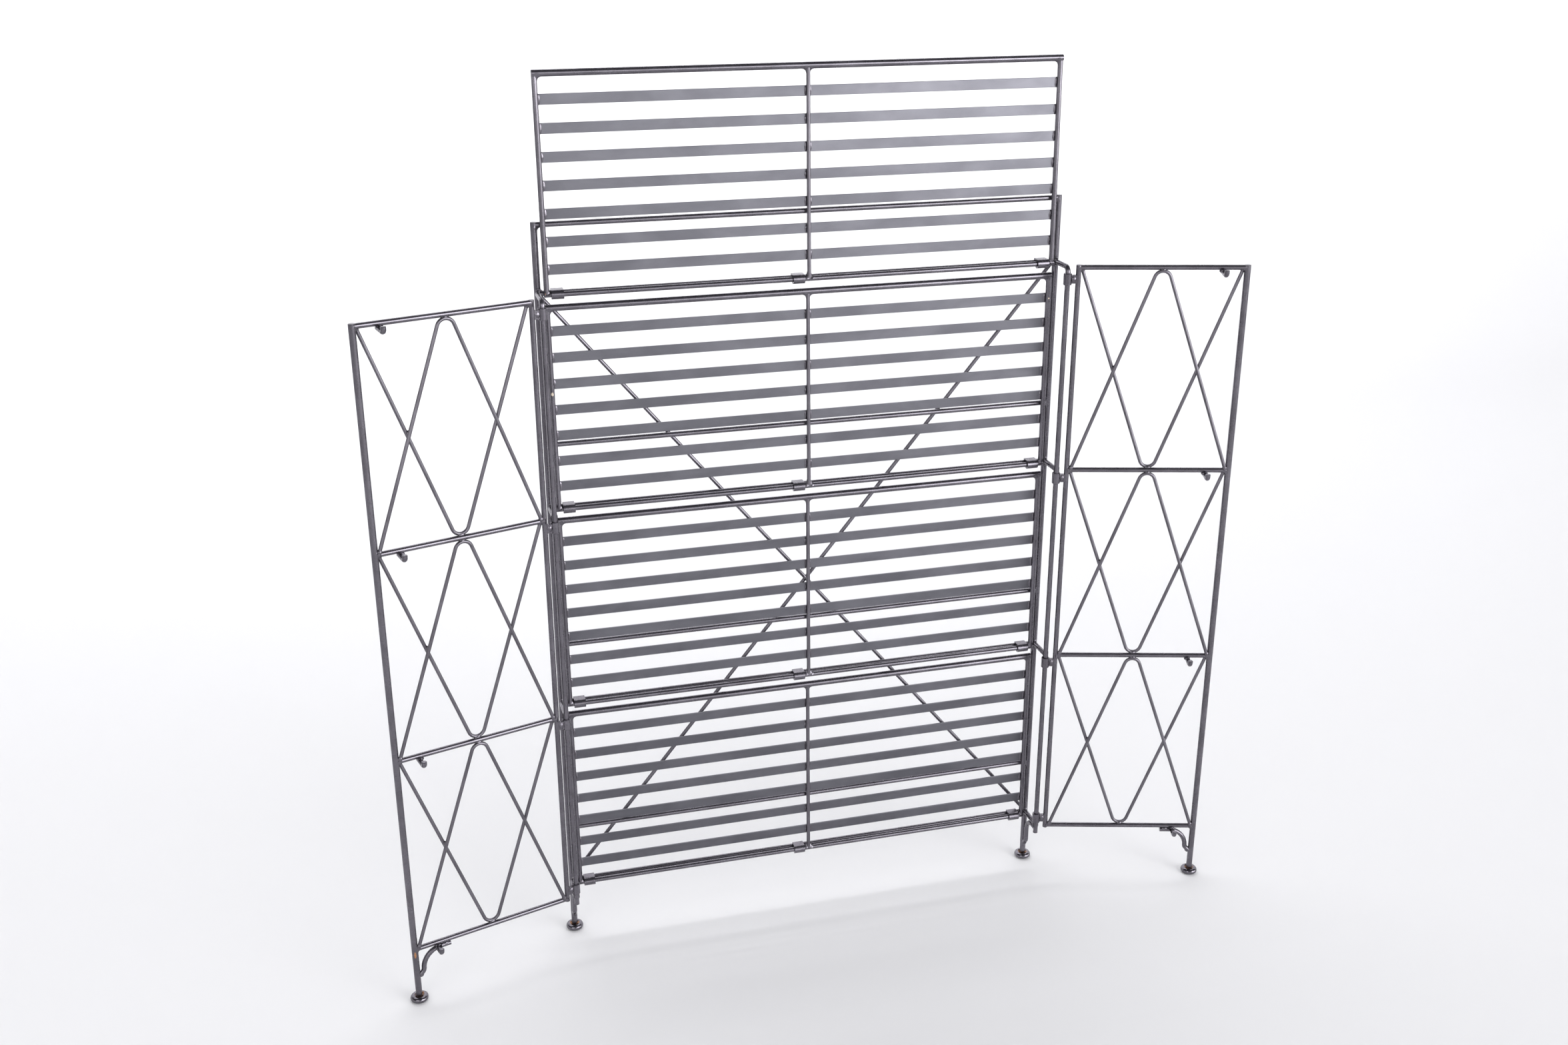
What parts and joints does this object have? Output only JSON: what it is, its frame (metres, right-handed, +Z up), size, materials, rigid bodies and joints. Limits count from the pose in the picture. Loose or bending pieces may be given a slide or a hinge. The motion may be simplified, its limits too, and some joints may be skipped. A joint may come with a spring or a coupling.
{
  "type": "folding etagere",
  "caption": "Folding iron etagere: a braced back frame with slatted shelves that hinge up against it and lattice side frames that swing in over them.",
  "frame": {"origin": "on the floor, midway between the four feet in the stored, partly folded pose", "axes": "+X to the right as seen from the front, +Y from front to back, +Z up; left and right in the names are as seen from the front"},
  "size_m": [1.3728, 0.1564, 1.4019],
  "materials": {
    "rods": "satin black over dark iron",
    "wires": "satin black over dark iron",
    "slats": "dark gunmetal with cloudy stains",
    "hinge_fittings": "satin black, rubbed at the edges",
    "feet": "black with rubbed, rusting rims"
  },
  "bodies": {
    "back_frame": {"back_rail_1": "rods", "back_rail_2": "rods", "back_rail_3": "rods", "back_rail_4": "rods", "gallery_lower_rails": "rods", "gallery_top_rail": "rods", "half_cross_braces": "wires", "left_hinge_rod": "rods", "left_rear_foot": "feet", "left_rear_knee_bracket": "rods", "left_rear_post": "rods", "left_standoff_arms": "rods", "long_cross_brace": "wires", "right_hinge_rod": "rods", "right_rear_foot": "feet", "right_rear_knee_bracket": "rods", "right_rear_post": "rods", "right_standoff_arms": "rods", "shelf_knuckles_1": "hinge_fittings", "shelf_knuckles_2": "hinge_fittings", "shelf_knuckles_3": "hinge_fittings", "shelf_knuckles_4": "hinge_fittings"},
    "left_side": {"left_arch_wires": "wires", "left_front_foot": "feet", "left_front_post": "rods", "left_hinge_collars": "hinge_fittings", "left_inner_post": "rods", "left_knee_bracket": "rods", "left_shelf_hooks": "hinge_fittings", "left_side_rails": "rods", "left_vee_wires": "wires"},
    "right_side": {"right_arch_wires": "wires", "right_front_foot": "feet", "right_front_post": "rods", "right_hinge_collars": "hinge_fittings", "right_inner_post": "rods", "right_knee_bracket": "rods", "right_shelf_hooks": "hinge_fittings", "right_side_rails": "rods", "right_vee_wires": "wires"},
    "shelf_1": {"shelf_1_centre_rod": "wires", "shelf_1_front_rod": "rods", "shelf_1_rear_rod": "rods", "shelf_1_side_rods": "rods", "shelf_1_slats": "slats"},
    "shelf_2": {"shelf_2_centre_rod": "wires", "shelf_2_front_rod": "rods", "shelf_2_rear_rod": "rods", "shelf_2_side_rods": "rods", "shelf_2_slats": "slats"},
    "shelf_3": {"shelf_3_centre_rod": "wires", "shelf_3_front_rod": "rods", "shelf_3_rear_rod": "rods", "shelf_3_side_rods": "rods", "shelf_3_slats": "slats"},
    "shelf_4": {"shelf_4_centre_rod": "wires", "shelf_4_front_rod": "rods", "shelf_4_rear_rod": "rods", "shelf_4_side_rods": "rods", "shelf_4_slats": "slats"}
  },
  "joints": [
    {"name": "shelf_1_fold", "type": "hinge", "parent": "back_frame", "child": "shelf_1", "pos_m": [0, 0.05239, 0.094], "axis": [1, 0, 0], "range_deg": [0, 91.17]},
    {"name": "shelf_2_fold", "type": "hinge", "parent": "back_frame", "child": "shelf_2", "pos_m": [0, 0.05239, 0.425], "axis": [1, 0, 0], "range_deg": [0, 91.17]},
    {"name": "shelf_3_fold", "type": "hinge", "parent": "back_frame", "child": "shelf_3", "pos_m": [0, 0.05239, 0.756], "axis": [1, 0, 0], "range_deg": [0, 91.17]},
    {"name": "shelf_4_fold", "type": "hinge", "parent": "back_frame", "child": "shelf_4", "pos_m": [0, 0.05239, 1.087], "axis": [1, 0, 0], "range_deg": [0, 91.17]},
    {"name": "left_side_swing", "type": "hinge", "parent": "back_frame", "child": "left_side", "pos_m": [-0.407, 0.01474, 0], "axis": [0, 0, -1], "range_deg": [-163.5, 71.5]},
    {"name": "right_side_swing", "type": "hinge", "parent": "back_frame", "child": "right_side", "pos_m": [0.407, 0.01474, 0], "axis": [0, 0, 1], "range_deg": [-163.5, 71.5]}
  ]
}
